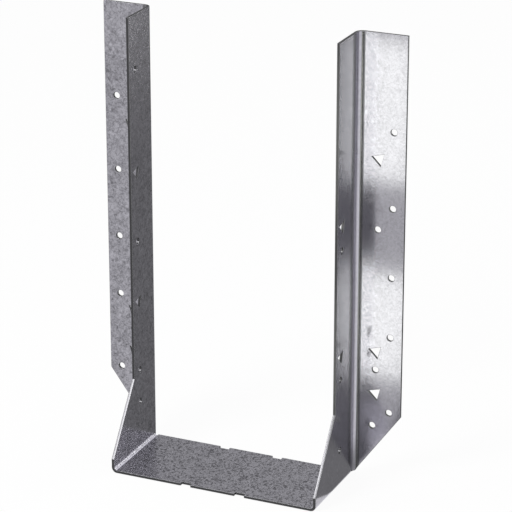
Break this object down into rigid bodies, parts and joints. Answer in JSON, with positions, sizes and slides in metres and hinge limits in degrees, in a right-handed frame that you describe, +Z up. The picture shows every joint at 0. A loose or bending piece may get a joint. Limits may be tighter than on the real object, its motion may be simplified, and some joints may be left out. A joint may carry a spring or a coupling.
{
  "type": "joist hanger",
  "caption": "Folded sheet-steel hanger: a seat and walls cradle the end of a timber joist, and flanges at the back nail it to the face of a header.",
  "frame": {"origin": "middle of the joist's lower end edge: on the bearing face of the seat, in the plane of the header's face, midway between the walls", "axes": "+X across the joist, +Y towards the header, +Z up along the walls"},
  "size_m": [0.207, 0.0653, 0.2972],
  "materials": {
    "galvanised_steel": "bright mottled zinc coating on steel sheet, satin to glossy"
  },
  "bodies": {
    "root": {"joist_hanger": "galvanised_steel"}
  },
  "joints": []
}
